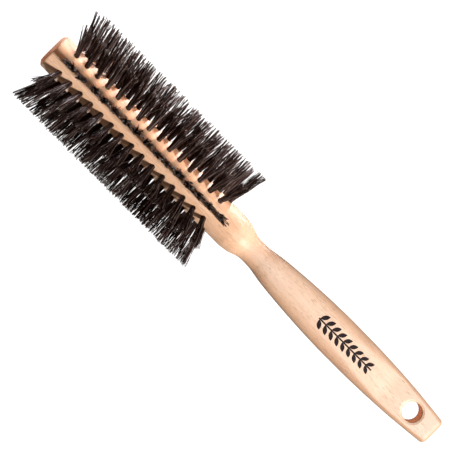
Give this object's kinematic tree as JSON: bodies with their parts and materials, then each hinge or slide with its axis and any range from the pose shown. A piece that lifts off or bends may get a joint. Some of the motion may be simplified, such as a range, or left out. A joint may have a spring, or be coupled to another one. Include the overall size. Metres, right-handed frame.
{
  "type": "round barrel brush",
  "caption": "Round hair styling brush: a turned wooden barrel with straight rows of dark bristle tufts, and a flattened wooden grip with a hanging hole.",
  "frame": {"origin": "centre of the flat face at the barrel's tip, on the barrel's axis", "axes": "+X along the barrel from the tip towards the handle, +Z out of the grip's broad front face, which the hanging hole runs through, +Y across the grip"},
  "size_m": [0.2341, 0.0516, 0.0532],
  "materials": {
    "beech": "satin",
    "bristle": "matte",
    "anchor_wire": "satin"
  },
  "bodies": {
    "root": {"brush_body": "beech", "bristle_row_01": "bristle", "bristle_row_02": "bristle", "bristle_row_03": "bristle", "bristle_row_04": "bristle", "bristle_row_05": "bristle", "bristle_row_06": "bristle", "bristle_row_07": "bristle", "bristle_row_08": "bristle", "bristle_row_09": "bristle", "bristle_row_10": "bristle", "anchor_wire_row_01": "anchor_wire", "anchor_wire_row_02": "anchor_wire", "anchor_wire_row_03": "anchor_wire", "anchor_wire_row_04": "anchor_wire", "anchor_wire_row_05": "anchor_wire", "anchor_wire_row_06": "anchor_wire", "anchor_wire_row_07": "anchor_wire", "anchor_wire_row_08": "anchor_wire", "anchor_wire_row_09": "anchor_wire", "anchor_wire_row_10": "anchor_wire"}
  },
  "joints": []
}
